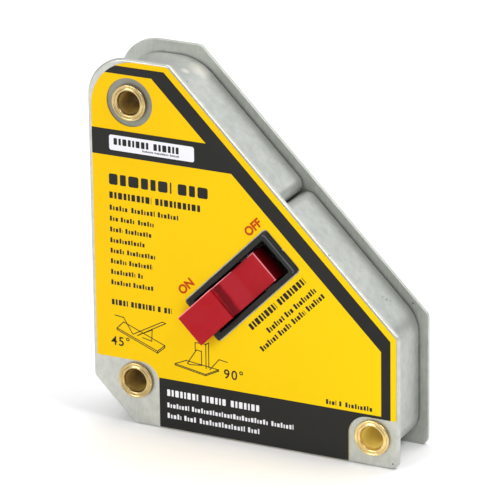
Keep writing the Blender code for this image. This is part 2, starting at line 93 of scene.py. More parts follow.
# Spacer band
BAND_INSET = BAND_LOW.x - PLATE_LOW.x
BAND_TOP_INSET = HEIGHT - BAND_HIGH.z
BAND_SHEET = 1.2 * MM
BAND_BEND = 6.5 * MM
BAND_TOP_LEFT_BEND = 11.8 * MM
BAND_TOP_RIGHT_BEND = 15.0 * MM
BAND_RIGHT_BEND = 11.0 * MM
BAND_END_BEND = 3.4 * MM
BAND_END_TAB = 2.6 * MM
BAND_SEAM = 0.5 * MM

# Rivets; the band's bend at the foot goes round one of them
CLEARANCE = 0.3 * MM
RIVET_TUBE = 3.8 * MM
RIVET_BORE = 3.1 * MM
RIVET_HEAD = 5.4 * MM
RIVET_CREST = 0.36 * MM
RIVET_MOUTH_CREST = 0.42 * MM
FOOT_BEND = RIVET_TUBE + CLEARANCE + 2 * BAND_SHEET

# Switch window, bezel and lever, in switch coordinates
AXIS = Vector(SWITCH["pos_m"])
WINDOW_LENGTH = 31.0 * MM
WINDOW_WIDTH = 11.6 * MM
LEVER_TOP = MIDDLE - LEVER_LOW.y
BEZEL_TOP = MIDDLE - BEZEL_LOW.y
WINDOW_OFF = LEVER_TOP + 0.5 * MM
WINDOW_ON = WINDOW_OFF - WINDOW_LENGTH
RIM_END = 2.6 * MM
RIM_SIDE = 1.7 * MM
BEZEL_WALL = 0.8 * MM
BEZEL_NICK = 0.45 * MM
LEVER_HALF_WIDTH = WINDOW_WIDTH / 2 - 0.6 * MM
LEVER_STEP = -8.4 * MM
LEVER_STEP_DEPTH = 1.5 * MM
LEVER_SCOOP = 1.5 * MM
LEVER_BARREL = 4.6 * MM
LEVER_EDGE = 0.3 * MM
PADDLE_REACH = 4.0 * MM
PADDLE_SHEET = 1.9 * MM

# Label
LABEL_FACE = MIDDLE - LABEL_LOW.y
INK = 0.02 * MM
LABEL_LEFT = 1.3 * MM
LABEL_INSET = 0.6 * MM
LABEL_TOP_LEFT_RADIUS = 14.4 * MM
LABEL_CORNER_RADIUS = 0.4 * MM
LABEL_HOLE = RIVET_HEAD + 1.85 * MM
LABEL_CUT_SIDE = 7.5 * MM
LABEL_CUT_TOP = 6.05 * MM
LABEL_CUT_RADIUS = 6.0 * MM

ARC_STEP = math.radians(4)
SHARP = math.radians(32)


# ---------------------------------------------------------------- outlines

def arc(centre, radius, start, end, steps):
    turns = [start + (end - start) * i / steps for i in range(steps + 1)]
    return [(centre[0] + radius * math.cos(a), centre[1] + radius * math.sin(a)) for a in turns]


def circle(centre, radius, steps=72):
    return arc(centre, radius, 0, 2 * math.pi, steps)[:-1]


def corner_arc(before, corner, after, radius):
    """The points that round one corner of a path off with the given radius."""
    to_before = (Vector(before) - Vector(corner)).normalized()
    to_after = (Vector(after) - Vector(corner)).normalized()
    half = to_before.angle(to_after) / 2
    centre = Vector(corner) + (to_before + to_after).normalized() * (radius / math.sin(half))
    start = Vector(corner) + to_before * (radius / math.tan(half)) - centre
    turn = math.pi - 2 * half
    side = 1 if start.x * to_before.y - start.y * to_before.x < 0 else -1
    steps = max(3, round(turn / ARC_STEP))
    spokes = [Matrix.Rotation(side * turn * i / steps, 2) @ start for i in range(steps + 1)]
    return [tuple(centre + spoke) for spoke in spokes]


def rounded_path(corners, radii, closed=True):
    """A path with every corner rounded off, or left as it is where its radius is 0."""
    points = []
    for i, (corner, radius) in enumerate(zip(corners, radii)):
        if radius == 0 or (not closed and i in (0, len(corners) - 1)):
            points.append(corner)
            continue
        points += corner_arc(corners[i - 1], corner, corners[(i + 1) % len(corners)], radius)
    return points


def plate_corners(inset=0.0, left=None):
    """Corners of the plate's outline, moved in from its edges, from the lower left end round."""
    left = inset if left is None else left
    diagonal = inset * math.tan(math.pi / 8)
    return [
        (left, CORNER_CUT + diagonal), (CORNER_CUT + diagonal, inset), (WIDTH - inset, inset),
        (WIDTH - inset, RIGHT_EDGE - diagonal), (TOP_EDGE - diagonal, HEIGHT - inset),
        (left, HEIGHT - inset),
    ]


def plate_path(inset):
    radii = [BLUNT_RADIUS, BLUNT_RADIUS, FOOT_RADIUS, BLUNT_RADIUS, BLUNT_RADIUS, TOP_LEFT_RADIUS]
    return rounded_path(plate_corners(inset), [radius - inset for radius in radii])


def window_path(end, side, corner):
    """Outline of the switch window in switch coordinates, grown by the two margins."""
    x0, x1 = WINDOW_ON - end, WINDOW_OFF + end
    half = WINDOW_WIDTH / 2 + side
    return rounded_path([(x0, -half), (x1, -half), (x1, half), (x0, half)], [corner] * 4)


def in_plate(points):
    """Points in switch coordinates, in plate coordinates."""
    origin = AXIS.x - PLATE_LOW.x, AXIS.z
    return [((x - y) * SLANT + origin[0], (x + y) * SLANT + origin[1]) for x, y in points]


def rivet_centre(name):
    low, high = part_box(name)
    return (low.x + high.x) / 2 - PLATE_LOW.x, (low.z + high.z) / 2


RIVETS = {name: rivet_centre(name) for name in ("rivet_top", "rivet_corner", "rivet_foot")}


# ---------------------------------------------------------------- meshes

def world(x, z, depth):
    """A point in plate coordinates, that far behind the middle plane."""
    return Vector((PLATE_LOW.x + x, MIDDLE + depth, z))


def fill(bm, loops):
    """Triangles between closed loops of vertices."""
    edges = []
    for ring in loops:
        for i in range(len(ring)):
            pair = (ring[i - 1], ring[i])
            edges.append(bm.edges.get(pair) or bm.edges.new(pair))
    bmesh.ops.triangle_fill(bm, use_beauty=True, use_dissolve=False, edges=edges)


def bridge(bm, rings, closed=False):
    """Quads from each ring of vertices to the next."""
    pairs = list(zip(rings, rings[1:]))
    if closed:
        pairs.append((rings[-1], rings[0]))
    for here, there in pairs:
        for i in range(len(here)):
            bm.faces.new((here[i - 1], here[i], there[i], there[i - 1]))


def plate_mesh(path_at, profile, holes):
    """A flat piece with a shaped rim: profile is the rim's (inset, depth) from face to face."""
    bm = bmesh.new()
    rings = [[bm.verts.new(world(x, z, depth)) for x, z in path_at(inset)]
             for inset, depth in profile]
    faces = [profile[0][1], profile[-1][1]]
    hole_rings = [[[bm.verts.new(world(x, z, depth)) for x, z in hole] for depth in faces]
                  for hole in holes]
    fill(bm, [rings[0]] + [pair[0] for pair in hole_rings])
    fill(bm, [rings[-1]] + [pair[1] for pair in hole_rings])
    bridge(bm, rings)
    for pair in hole_rings:
        bridge(bm, pair)
    return bm


def flat_mesh(loops, near, far):
    """A thin sheet with straight sides, between two depths."""
    return plate_mesh(lambda inset: loops[0], [(0, near), (0, far)], loops[1:])


def rim(depth_face, depth_back, face_round, back_round, steps=6):
    """Profile of a sheet's rim, rounded by one radius at its face and another at its back."""
    way = 1 if depth_back > depth_face else -1
    points = []
    for i in range(steps + 1):
        turn = math.pi / 2 * i / steps
        inset = face_round * (1 - math.sin(turn))
        points.append((inset, depth_face + way * face_round * (1 - math.cos(turn))))
    for i in range(steps // 2 + 1):
        turn = math.pi / 2 * i / (steps // 2)
        inset = back_round * (1 - math.cos(turn))
        points.append((inset, depth_back - way * back_round * (1 - math.sin(turn))))
    return points


def add_piece(name, bm, body, materials, nodes=(), at=None, smooth=True):
    """Link a mesh as one visible piece that rides on a body and stands for CAD nodes."""
    bmesh.ops.recalc_face_normals(bm, faces=bm.faces)
    mesh = bpy.data.meshes.new(name)
    bm.to_mesh(mesh)
    bm.free()
    piece = bpy.data.objects.new(name, mesh)
    bpy.context.scene.collection.objects.link(piece)
    for material in materials:
        mesh.materials.append(material)
    if smooth:
        mesh.shade_smooth()
        mesh.set_sharp_from_angle(angle=SHARP)
        weighted = piece.modifiers.new("flat faces stay flat", "WEIGHTED_NORMAL")
        weighted.keep_sharp = True
        weighted.weight = 80
    if at is not None:
        piece.matrix_world = at
    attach(piece, body)
    if nodes:
        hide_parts(*nodes)


# ---------------------------------------------------------------- materials
# Noise scales are per metre, and bump depths are in metres.

class Nodes:
    """A material's node tree, with short calls for the few nodes that all the finishes use."""

    def __init__(self, name, roughness, metallic=0.0, **uniform):
        self.material = bpy.data.materials.new(name)
        self.material.use_nodes = True
        self.tree = self.material.node_tree
        self.shader = self.tree.nodes["Principled BSDF"]
        self.shader.inputs["Roughness"].default_value = roughness
        self.shader.inputs["Metallic"].default_value = metallic
        for socket, value in uniform.items():
            self.shader.inputs[socket.replace("_", " ")].default_value = value
        self.place = self.add("ShaderNodeTexCoord").outputs["Object"]

    def add(self, kind, **settings):
        node = self.tree.nodes.new(kind)
        for name, value in settings.items():
            setattr(node, name, value)
        return node

    def wire(self, value, socket):
        if isinstance(value, bpy.types.NodeSocket):
            self.tree.links.new(value, socket)
        else:
            socket.default_value = value

    def stretched(self, scale, turn=(0, 0, 0)):
        mapping = self.add("ShaderNodeMapping")
        mapping.inputs["Scale"].default_value = scale
        mapping.inputs["Rotation"].default_value = turn
        self.wire(self.place, mapping.inputs["Vector"])
        return mapping.outputs["Vector"]

    def noise(self, scale, detail=3.0, roughness=0.5, place=None):
        node = self.add("ShaderNodeTexNoise")
        self.wire(place or self.place, node.inputs["Vector"])
        node.inputs["Scale"].default_value = scale
        node.inputs["Detail"].default_value = detail
        node.inputs["Roughness"].default_value = roughness
        return node.outputs["Fac"]

    def cells(self, scale, place=None):
        node = self.add("ShaderNodeTexVoronoi")
        self.wire(place or self.place, node.inputs["Vector"])
        node.inputs["Scale"].default_value = scale
        return node.outputs["Distance"]

    def steps(self, value, low, high, from_value=0.0, to_value=1.0):
        """Value from low to high, spread over from_value to to_value and held outside it."""
        node = self.add("ShaderNodeMapRange")
        self.wire(value, node.inputs["Value"])
        for socket, number in (("From Min", low), ("From Max", high), ("To Min", from_value),
                               ("To Max", to_value)):
            node.inputs[socket].default_value = number
        return node.outputs["Result"]

    def maths(self, operation, a, b):
        node = self.add("ShaderNodeMath", operation=operation)
        self.wire(a, node.inputs[0])
        self.wire(b, node.inputs[1])
        return node.outputs["Value"]

    def axes(self):
        split = self.add("ShaderNodeSeparateXYZ")
        self.wire(self.place, split.inputs[0])
        return split.outputs["X"], split.outputs["Y"], split.outputs["Z"]

    def distance(self, x, z):
        """Distance from the line through (x, z) that runs from front to rear."""
        here_x, _, here_z = self.axes()
        across = self.maths("POWER", self.maths("SUBTRACT", here_x, x), 2.0)
        up = self.maths("POWER", self.maths("SUBTRACT", here_z, z), 2.0)
        return self.maths("POWER", self.maths("ADD", across, up), 0.5)

    def reach(self, place):
        """Distance from one point."""
        node = self.add("ShaderNodeVectorMath", operation="DISTANCE")
        self.wire(self.place, node.inputs[0])
        node.inputs[1].default_value = place
        return node.outputs["Value"]

    def blend(self, share, a, b):
        """Colour a at share 0 and colour b at share 1."""
        node = self.add("ShaderNodeMix", data_type="RGBA")
        self.wire(share, node.inputs["Factor"])
        # A and B are there once for each kind of data, and these are the ones for colour
        self.wire(a, node.inputs[6])
        self.wire(b, node.inputs[7])
        return node.outputs[2]

    def bump(self, height, depth, below=None):
        node = self.add("ShaderNodeBump")
        node.inputs["Distance"].default_value = depth
        self.wire(height, node.inputs["Height"])
        if below is not None:
            self.wire(below, node.inputs["Normal"])
        return node.outputs["Normal"]

    def finish(self, colour, roughness=None, normal=None):
        self.wire(colour, self.shader.inputs["Base Color"])
        if roughness is not None:
            self.wire(roughness, self.shader.inputs["Roughness"])
        if normal is not None:
            self.wire(normal, self.shader.inputs["Normal"])
        return self.material


def srgb(red, green, blue):
    """A colour given as it looks, 0 to 255, as the linear colour that a shader takes."""
    parts = [value / 255 for value in (red, green, blue)]
    linear = [p / 12.92 if p <= 0.04045 else ((p + 0.055) / 1.055) ** 2.4 for p in parts]
    return (*linear, 1.0)


def plated_steel(name, light, dark, grain_turn=(0, 0, 0), metallic=0.85, dull=None, dents=(),
                 painted_highlights=(), shaded_seams=()):
    """Satin plated sheet: cloudy tone, rolled grain, small pits, stray scratches.

    dull is a dirty disc as (x, z, radius); dents are single dark nicks and the next list holds
    pale patches of painted highlight, both as (place, radius). The last list holds depths where a
    dark line of painted shade runs along an edge. All of them are in world coordinates.
    """
    roughness = 0.42
    n = Nodes(name, roughness, metallic)
    cloud = n.noise(55, 4, 0.6)
    mottle = n.noise(420, 3, 0.6)
    grain = n.noise(900, 2, 0.5, n.stretched((6, 6, 0.35), grain_turn))
    pits = n.steps(n.cells(150), 0.035, 0.07)
    where = n.steps(n.noise(70, 2), 0.56, 0.6)
    pit = n.maths("MULTIPLY", n.maths("SUBTRACT", 1.0, pits), where)
    scratch_line = n.noise(260, 1, 0.4, n.stretched((1.0, 1.0, 0.05), (0.3, 0.9, 0.5)))
    scratch = n.steps(n.maths("ABSOLUTE", n.maths("SUBTRACT", scratch_line, 0.5), 0.0),
                      0.004, 0.0)
    colour = n.blend(n.steps(cloud, 0.3, 0.7), light, dark)
    colour = n.blend(n.steps(mottle, 0.35, 0.75, 0.0, 0.25), colour, srgb(120, 124, 117))
    colour = n.blend(n.steps(grain, 0.3, 0.7, 0.0, 0.18), colour, srgb(235, 238, 232))
    colour = n.blend(n.maths("MULTIPLY", pit, 0.8), colour, srgb(60, 60, 56))
    colour = n.blend(n.maths("MULTIPLY", scratch, 0.12), colour, srgb(250, 250, 250))
    rough = n.steps(n.maths("ADD", grain, mottle), 0.6, 1.4, roughness - 0.08, roughness + 0.1)
    if dull is not None:
        x, z, radius = dull
        dirty = n.steps(n.distance(x, z), radius + 0.1 * MM, radius - 0.1 * MM)
        patchy = n.maths("MULTIPLY", dirty, n.steps(cloud, 0.25, 0.6, 0.55, 1.0))
        colour = n.blend(patchy, colour, srgb(138, 138, 126))
        rough = n.maths("ADD", rough, n.maths("MULTIPLY", dirty, 0.12))
    # Painted shade: a dark line along the band's edges at these depths, where the band meets a
    # plate and shade falls in the joint.
    for shaded_seam in shaded_seams:
        away = n.maths("ABSOLUTE", n.maths("SUBTRACT", n.axes()[1], shaded_seam), 0.0)
        away = n.maths("SUBTRACT", away, n.maths("MULTIPLY", mottle, 0.25 * MM))
        colour = n.blend(n.steps(away, 0.3 * MM, 0.1 * MM, 0.0, 0.9), colour, srgb(52, 54, 51))
    # Painted highlights: pale patches, a little less rough, that stand in for light reflected off
    # the band's bend.
    for place, radius in painted_highlights:
        away = n.maths("ADD", n.reach(place), n.maths("MULTIPLY", cloud, 1.2 * radius))
        painted_highlight = n.steps(away, 1.7 * radius, 0.6 * radius)
        colour = n.blend(n.maths("MULTIPLY", painted_highlight, 0.9), colour, srgb(250, 246, 236))
        rough = n.maths("SUBTRACT", rough, n.maths("MULTIPLY", painted_highlight, 0.08))
    for place, radius in dents:
        away = n.maths("ADD", n.reach(place), n.maths("MULTIPLY", mottle, radius))
        dent = n.steps(away, 1.7 * radius, 1.2 * radius)
        pit = n.maths("MAXIMUM", pit, dent)
        colour = n.blend(n.maths("MULTIPLY", dent, 0.85), colour, srgb(64, 66, 62))
    normal = n.bump(n.maths("ADD", grain, n.maths("MULTIPLY", mottle, 1.5)), 0.012 * MM)
    normal = n.bump(n.maths("SUBTRACT", 1.0, pit), 0.06 * MM, normal)
    return n.finish(colour, rough, normal)


def brass(name, light, dark, bore_light, bore_dark):
    """Turned and formed brass: fine turning rings, handling marks, a dull bore."""
    n = Nodes(name, 0.28, 1.0)
    inside = n.steps(n.distance(0.0, 0.0), RIVET_BORE + 0.3 * MM, RIVET_BORE + 0.05 * MM)
    cloud = n.noise(500, 4, 0.6)
    ring = n.add("ShaderNodeTexWave", wave_type="RINGS", rings_direction="Y")
    n.wire(n.place, ring.inputs["Vector"])
    ring.inputs["Scale"].default_value = 1500
    ring.inputs["Distortion"].default_value = 1.2
    ring.inputs["Detail"].default_value = 2
    colour = n.blend(n.steps(cloud, 0.3, 0.7), light, dark)
    # The bore's colours are painted light and shade inside the tube: a lit bore for the foot
    # rivet, a shaded bore for the other two.
    colour = n.blend(inside, colour, n.blend(n.steps(n.noise(260, 3), 0.3, 0.7), bore_light,
                                             bore_dark))
    n.wire(n.steps(inside, 0.0, 1.0, 1.0, 0.1), n.shader.inputs["Metallic"])
    rough = n.steps(cloud, 0.3, 0.7, 0.2, 0.36)
    rough = n.maths("ADD", rough, n.maths("MULTIPLY", inside, 0.12))
    normal = n.bump(ring.outputs["Fac"], 0.003 * MM)
    normal = n.bump(n.noise(1400, 2), 0.006 * MM, normal)
    return n.finish(colour, rough, normal)


def printed(name, colour, tint, roughness, lower_right_colour=None):
    """Printed vinyl: slight unevenness of the ink, fine texture of a matt film.

    The ink goes over to a second colour towards the lower right.
    """
    n = Nodes(name, roughness, 0.0, Specular_IOR_Level=0.1)
    cloud = n.noise(38, 3, 0.5)
    speck = n.noise(3800, 2, 0.6)
    mixed = n.blend(n.steps(cloud, 0.3, 0.7), colour, tint)
    if lower_right_colour is not None:
        x, _, z = n.axes()
        across = n.maths("SUBTRACT", x, n.maths("MULTIPLY", z, 0.4))
        mixed = n.blend(n.steps(across, -70 * MM, 35 * MM), mixed, lower_right_colour)
    mixed = n.blend(n.steps(speck, 0.58, 0.72, 0.0, 0.2), mixed, tint)
    rough = n.steps(cloud, 0.3, 0.7, roughness - 0.04, roughness + 0.06)
    normal = n.bump(n.noise(700, 2, 0.5), 0.006 * MM)
    return n.finish(mixed, rough, normal)


def moulded(name, colour, shade, roughness, grain, specular=0.3):
    """Moulded plastic: fine spark grain, uneven sheen, faint rub marks."""
    n = Nodes(name, roughness, 0.0, Specular_IOR_Level=specular)
    cloud = n.noise(160, 3, 0.5)
    spark = n.noise(4200, 2, 0.7)
    rub = n.noise(500, 2, 0.5, n.stretched((1, 0.08, 1), (0.2, 0.1, 0.7)))
    mixed = n.blend(n.steps(cloud, 0.3, 0.7), colour, shade)
    rough = n.steps(n.maths("ADD", cloud, rub), 0.6, 1.4, roughness - 0.06, roughness + 0.08)
    normal = n.bump(spark, grain)
    return n.finish(mixed, rough, normal)


def lever_plastic_with_painted_light(name, colour, corner, paler_red, deep):
    """Lever plastic in switch coordinates, with painted light: a painted shadow behind the step,
    a painted highlight band across the scoop and painted shade low on the nose's end face.
    """
    n = Nodes(name, 0.3, 0.0, Specular_IOR_Level=0.16)
    x, _, z = n.axes()
    cloud = n.noise(210, 3, 0.55)
    wobble = n.maths("MULTIPLY", n.maths("SUBTRACT", cloud, 0.5), 1.2 * MM)
    along = n.maths("ADD", x, wobble)
    after_step = n.steps(along, LEVER_STEP - 0.1 * MM, LEVER_STEP + 0.3 * MM)
    # Painted shadow: a darker band just behind the step, where the step's shadow falls.
    step_shadow = n.maths("MULTIPLY", after_step,
                   n.steps(along, LEVER_STEP + 2.7 * MM, LEVER_STEP + 1.8 * MM))
    # Painted highlight: a paler band across the scoop, where the light falls.
    lit_band = n.maths("MULTIPLY", n.steps(along, LEVER_STEP + 2.0 * MM, LEVER_STEP + 2.9 * MM),
                   n.steps(along, LEVER_STEP + 8.4 * MM, LEVER_STEP + 7.0 * MM))
    # Painted shade: the nose's end face darkens with depth down into the window.
    low = n.maths("MULTIPLY", n.steps(z, HALF - 0.6 * MM, HALF - 6.5 * MM),
                  n.steps(x, 0.0, 4.0 * MM))
    mixed = n.blend(n.steps(cloud, 0.32, 0.68, 0.0, 0.3), colour, paler_red)
    mixed = n.blend(n.maths("MULTIPLY", step_shadow, 0.85), mixed, corner)
    mixed = n.blend(n.maths("MULTIPLY", lit_band, 0.75), mixed, paler_red)
    mixed = n.blend(low, mixed, deep)
    rub = n.noise(420, 2, 0.5, n.stretched((0.15, 1, 1), (0.0, 0.0, 0.3)))
    rough = n.steps(n.maths("ADD", cloud, rub), 0.6, 1.4, 0.24, 0.38)
    rough = n.maths("ADD", rough, n.maths("MULTIPLY", lit_band, 0.1))
    normal = n.bump(n.noise(3600, 2, 0.7), 0.004 * MM)
    normal = n.bump(cloud, 0.03 * MM, normal)
    return n.finish(mixed, rough, normal)


def bare_metal(name, light, dark, roughness):
    """Inner metal pieces: cloudy tone with fine grain."""
    n = Nodes(name, roughness, 1.0)
    cloud = n.noise(300, 4, 0.6)
    grain = n.noise(2500, 2, 0.6)
    colour = n.blend(n.steps(cloud, 0.3, 0.7), light, dark)
    rough = n.steps(cloud, 0.3, 0.7, roughness - 0.07, roughness + 0.1)
    return n.finish(colour, rough, n.bump(grain, 0.006 * MM))


# ---------------------------------------------------------------- steel pieces

def build_plates(front_steel, rear_steel):
    """Both side plates, each with its outer edge rounded and its inner edge nearly sharp."""
    holes = [circle(centre, RIVET_TUBE + CLEARANCE) for centre in RIVETS.values()]
    margin = BEZEL_WALL + CLEARANCE
    window = in_plate(window_path(margin, margin, 1.3 * MM))
    front = rim(-HALF, -INNER_HALF, FRONT_ROUND, BACK_ROUND)
    rear = rim(HALF, INNER_HALF, FRONT_ROUND, BACK_ROUND)
    add_piece("plate_front", plate_mesh(plate_path, front, [*holes, window]), "holder",
              [front_steel], ["front_plate"])
    add_piece("plate_rear", plate_mesh(plate_path, rear, holes), "holder",
              [rear_steel], ["rear_plate"])


def band_path():
    """The band's outer side: once round the plates, both ends turned in at mid slant."""
    corners = plate_corners(BAND_INSET)
    middle = (Vector(corners[3]) + Vector(corners[4])) / 2
    depth = Vector((-SLANT, -SLANT)) * (BAND_END_BEND + BAND_END_TAB)
    along = Vector((SLANT, -SLANT)) * (BAND_SEAM / 2)
    lower, upper = middle + along, middle - along
    deeper = BAND_TOP_INSET - BAND_INSET
    top_right = corners[4][0] + deeper, corners[4][1] - deeper
    top_left = corners[5][0], corners[5][1] - deeper
    path = [tuple(upper + depth), tuple(upper), top_right, top_left, corners[0], corners[1],
            corners[2], corners[3], tuple(lower), tuple(lower + depth)]
    end = BAND_END_BEND
    radii = [0, end, BAND_TOP_RIGHT_BEND, BAND_TOP_LEFT_BEND, BAND_BEND, BAND_BEND, FOOT_BEND,
             BAND_RIGHT_BEND, end, 0]
    return rounded_path(path, radii, closed=False)


def build_band(steel):
    """The band's sheet, with its two long edges slightly rounded."""
    bm = bmesh.new()
    path = [Vector(point) for point in band_path()]
    half = BAND_HIGH.y - MIDDLE
    soft = 0.2 * MM
    quarter = math.pi / 2
    section = []
    for centre, start in (((soft, half - soft), 2 * quarter),
                          ((BAND_SHEET - soft, half - soft), quarter),
                          ((BAND_SHEET - soft, soft - half), 0),
                          ((soft, soft - half), -quarter)):
        section += arc(centre, soft, start, start - quarter, 3)
    rings = []
    for i, point in enumerate(path):
        near = path[max(i - 1, 0):i + 2]
        ways = [(there - here).normalized() for here, there in zip(near, near[1:])]
        way = sum(ways, Vector((0, 0))).normalized()
        normal = Vector((-way.y, way.x))
        stretch = 1 / max(normal.dot(Vector((-ways[0].y, ways[0].x))), 0.5)
        ring = []
        for inward, depth in section:
            place = point + normal * (inward * stretch)
            ring.append(bm.verts.new(world(place.x, place.y, depth)))
        rings.append(ring)
    bridge(bm, rings)
    bm.faces.new(rings[0])
    bm.faces.new(rings[-1])
    add_piece("band", bm, "holder", [steel], ["spacer_band"])


# ---------------------------------------------------------------- rivets

def rivet_profile(under, top):
    """Half of a formed rivet's section as radius and height, from the tube out over the head.

    The head is undercut, and has a valley between its outer crest and the one round the mouth.
    """
    outer, inner = RIVET_CREST, RIVET_MOUTH_CREST
    crest = (RIVET_HEAD - outer, top - 1.1 * outer)
    return [
        (RIVET_TUBE, under), (RIVET_HEAD - 0.5 * MM, under),
        *arc(crest, outer, math.radians(-55), math.radians(125), 9),
        (RIVET_HEAD - 0.72 * MM, top - 0.25 * MM), (RIVET_HEAD - 0.9 * MM, top - 0.27 * MM),
        *arc((RIVET_TUBE + 0.2 * MM, top - inner), inner, math.radians(45), math.radians(170), 8),
        (RIVET_BORE + 0.25 * MM, top - 0.9 * MM), (RIVET_BORE + 0.08 * MM, top - 1.4 * MM),
        (RIVET_BORE, top - 2.2 * MM),
    ]


def build_rivet(name, centre, metal):
    """A tubular rivet through both plates, with a formed head at each end."""
    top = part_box(name)[1].y - MIDDLE
    under = HALF + CLEARANCE / 3
    rear = rivet_profile(under, top)
    front = [(radius, -height) for radius, height in reversed(rear)]
    bm = bmesh.new()
    rings = []
    for radius, depth in [*rear, *front]:
        rings.append([bm.verts.new((dx, depth, dz)) for dx, dz in circle((0, 0), radius, 96)])
    bridge(bm, rings, closed=True)
    add_piece(name.replace("rivet_", "brass_rivet_"), bm, "holder", [metal], [name],
              Matrix.Translation(world(*centre, 0)))


# ---------------------------------------------------------------- label

def label_path():
    """The label's outline, cut out round the two lower rivets."""
    left, base = LABEL_LEFT, LABEL_INSET
    corners = plate_corners(LABEL_INSET, LABEL_LEFT)
    corner, foot = RIVETS["rivet_corner"], RIVETS["rivet_foot"]
    beside, above = LABEL_CUT_SIDE, LABEL_CUT_TOP
    path = [
        (left, corner[1] + above), (corner[0] + beside, corner[1] + above),
        (corner[0] + beside, base), (foot[0] - beside, base), (foot[0] - beside, foot[1] + above),
        (corners[2][0], foot[1] + above), corners[3], corners[4], corners[5],
    ]
    small, cut = LABEL_CORNER_RADIUS, LABEL_CUT_RADIUS
    return rounded_path(path, [small, cut, small, small, cut, small, small, BLUNT_RADIUS,
                               LABEL_TOP_LEFT_RADIUS])


def ink_depths(layer=1):
    """Front and rear of a film of ink, a few hundredths of a millimetre proud of the label."""
    return -LABEL_FACE - INK * layer, -LABEL_FACE + INK / 2


def add_print(name, bm, material):
    """One piece of the print, all of one colour."""
    add_piece(name, bm, "holder", [material], smooth=False)


def print_block(bm, loop, layer=1):
    """A block of ink inside one closed loop without hollows."""
    rings = [[bm.verts.new(world(x, z, depth)) for x, z in loop] for depth in ink_depths(layer)]
    bridge(bm, rings)
    bm.faces.new(rings[0])
    bm.faces.new(rings[1])


def on_slant(place, offset):
    """Height at a given x, or x at a given height, of the slanted edge moved in by the offset."""
    return TOP_EDGE + HEIGHT - offset / SLANT - place


def black_print_path():
    """Frame of the print: stripes along top, slant and right, a band across and one below."""
    outer, inner = 2.4 * MM, 6.9 * MM
    top_high, top_low = HEIGHT - 2.1 * MM, HEIGHT - 4.5 * MM
    right_out, right_in = WIDTH - 2.3 * MM, WIDTH - 5.2 * MM
    band_high, band_low = HEIGHT - 21.4 * MM, HEIGHT - 29.3 * MM
    base_high = 15.8 * MM
    foot = RIVETS["rivet_foot"]
    corner = RIVETS["rivet_corner"]
    cut_x, cut_z = foot[0] - LABEL_CUT_SIDE, foot[1] + LABEL_CUT_TOP
    base_left = corner[0] + LABEL_CUT_SIDE

    def at_corner(z):
        """The label's rounded corner, at that height."""
        radius = LABEL_TOP_LEFT_RADIUS
        rise = z - (HEIGHT - LABEL_INSET - radius)
        return LABEL_LEFT + radius - math.sqrt(radius ** 2 - rise ** 2), z

    path = [
        at_corner(top_low), (on_slant(top_low, inner), top_low),
        (on_slant(band_high, inner), band_high), (LABEL_LEFT, band_high), (LABEL_LEFT, band_low),
        (on_slant(band_low, inner), band_low), (right_in, on_slant(right_in, inner)),
        (right_in, base_high), (base_left, base_high), (base_left, LABEL_INSET),
        (cut_x, LABEL_INSET), (cut_x, cut_z), (right_out, cut_z),
        (right_out, on_slant(right_out, outer)), (on_slant(top_high, outer), top_high),
        at_corner(top_high), at_corner(top_high - 0.8 * MM), at_corner(top_high - 1.6 * MM),
    ]
    radii = [0] * len(path)
    radii[path.index((cut_x, cut_z))] = LABEL_CUT_RADIUS
    return rounded_path(path, radii)


def block(x, z, width, height, turn):
    """Outline of a small upright block of print, from its lower left corner."""
    c, s = math.cos(turn), math.sin(turn)
    corners = [(0, 0), (width, 0), (width, height), (0, height)]
    path = rounded_path(corners, [min(width, height) * 0.2] * 4)
    return [(x + px * c - py * s, z + px * s + py * c) for px, py in path]


def word_blocks(length, height, bold):
    """Blocks that stand for one word: offset, width and height of each."""
    widths = (0.44, 0.3, 0.52, 0.36, 0.26, 0.48)
    heights = (1.0, 0.74, 0.74, 1.0, 0.74, 0.74, 0.88)
    blocks = []
    start, i = 0.0, 0
    gap = 0.24 * height
    while start < length:
        width = min(widths[i % len(widths)] * height * bold, length - start)
        tall = height if bold > 1 else height * heights[i % len(heights)]
        blocks.append((start, width, tall))
        start += width + gap
        i += 1
    return blocks


def words_mesh(rows, layer):
    """Rows of word marks: (x, z, cap height, turn, boldness, word lengths), in millimetres."""
    whole = bmesh.new()
    for x, z, height, turn, bold, words in rows:
        space = 0.62 * height
        place = 0.0
        for length in words:
            for start, width, tall in word_blocks(length, height, bold):
                along = place + start
                left = (x + along * math.cos(turn)) * MM, (z + along * math.sin(turn)) * MM
                print_block(whole, block(*left, width * MM, tall * MM, turn), layer)
            place += length + space
    return whole


def line_strip(bm, points, width):
    """A thin printed line through points in plate coordinates."""
    for (x0, z0), (x1, z1) in zip(points, points[1:]):
        way = Vector((x1 - x0, z1 - z0)).normalized()
        side = Vector((-way.y, way.x)) * width / 2
        tip = way * width / 2
        a, b = Vector((x0, z0)) - tip, Vector((x1, z1)) + tip
        print_block(bm, [a - side, b - side, b + side, a + side])


def lettering(name, text, centre, height, turn, material, weight, spacing=1.0):
    """Printed characters, centred on a point of the label; height is that of the capitals."""
    capitals_to_size = 0.7
    curve = bpy.data.curves.new(name, "FONT")
    curve.body = text
    curve.align_x = "CENTER"
    curve.align_y = "CENTER"
    curve.size = height / capitals_to_size
    curve.offset = weight
    curve.space_character = spacing
    curve.extrude = INK
    curve.resolution_u = 6
    drawn = bpy.data.objects.new(name + "_curve", curve)
    bpy.context.scene.collection.objects.link(drawn)
    mesh = bpy.data.meshes.new_from_object(drawn.evaluated_get(
        bpy.context.evaluated_depsgraph_get()))
    bpy.data.objects.remove(drawn)
    facing = Matrix.Rotation(math.pi / 2, 4, "X")
    rolled = Matrix.Rotation(-turn, 4, "Y")
    mesh.transform(Matrix.Translation(world(*centre, -LABEL_FACE)) @ rolled @ facing)
    mesh.name = name
    piece = bpy.data.objects.new(name, mesh)
    bpy.context.scene.collection.objects.link(piece)
    mesh.materials.clear()
    mesh.materials.append(material)
    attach(piece, "holder")


